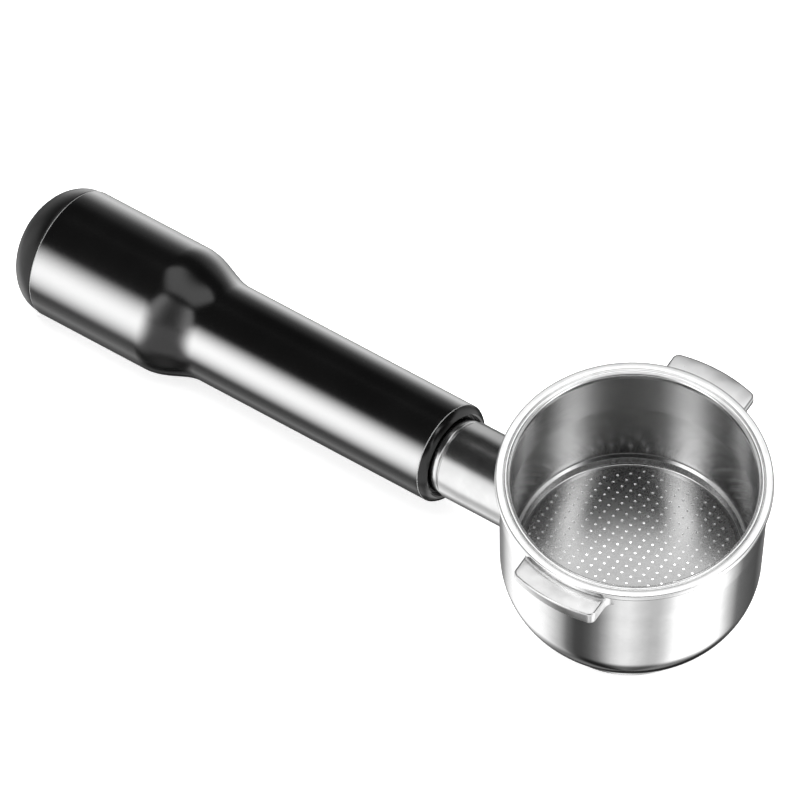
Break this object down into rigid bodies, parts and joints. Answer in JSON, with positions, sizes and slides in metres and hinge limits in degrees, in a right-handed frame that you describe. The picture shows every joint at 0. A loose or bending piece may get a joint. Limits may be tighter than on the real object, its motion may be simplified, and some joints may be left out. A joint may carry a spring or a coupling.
{
  "type": "portafilter",
  "caption": "Bottomless espresso portafilter: pressed steel cup with locking lugs, perforated basket held by a wire spring, bright neck and a stepped black grip.",
  "frame": {"origin": "centre of the filter basket's mouth, at the top of its straight wall, 1.3 mm below the top of the rim", "axes": "+Z along the basket's axis, up and out of its mouth; the handle points towards -X and droops; the lugs stand out towards -Y and +Y, turned 6 degrees anticlockwise from above"},
  "size_m": [0.1856, 0.0668, 0.0703],
  "materials": {
    "polished_steel": "mirror-polished stainless steel with a faint turned grain",
    "bright_chrome": "mirror chrome",
    "basket_steel": "drawn satin stainless steel, polished rim",
    "spring_wire": "drawn stainless wire",
    "zinc_steel": "zinc plated steel",
    "sleeve_aluminium": "as-drawn aluminium tube",
    "black_grip": "gloss black moulding",
    "black_cap": "satin black moulding",
    "black_rubber": "matt black rubber"
  },
  "bodies": {
    "root": {"cup_body": "polished_steel", "locking_lug_front": "polished_steel", "locking_lug_back": "polished_steel", "neck_tube": "bright_chrome", "neck_bush": "zinc_steel", "neck_ferrule": "bright_chrome", "front_seal": "black_rubber", "grip": "black_grip", "tie_rod": "zinc_steel", "spacer_sleeve": "sleeve_aluminium", "backing_plate": "zinc_steel", "flat_washer": "zinc_steel", "spring_washer": "zinc_steel", "clamp_nut": "zinc_steel", "end_cap": "black_cap", "cap_seal": "black_rubber"},
    "spring": {"retaining_spring": "spring_wire"},
    "basket": {"filter_basket": "basket_steel"}
  },
  "joints": [
    {"name": "spring_turn", "type": "hinge", "parent": "root", "child": "spring", "pos_m": [0, 0, -0.009], "axis": [0, 0, 1], "continuous": true},
    {"name": "basket_lift", "type": "slide", "parent": "spring", "child": "basket", "axis": [0, 0, 1], "range_m": [0, 0.045]}
  ]
}
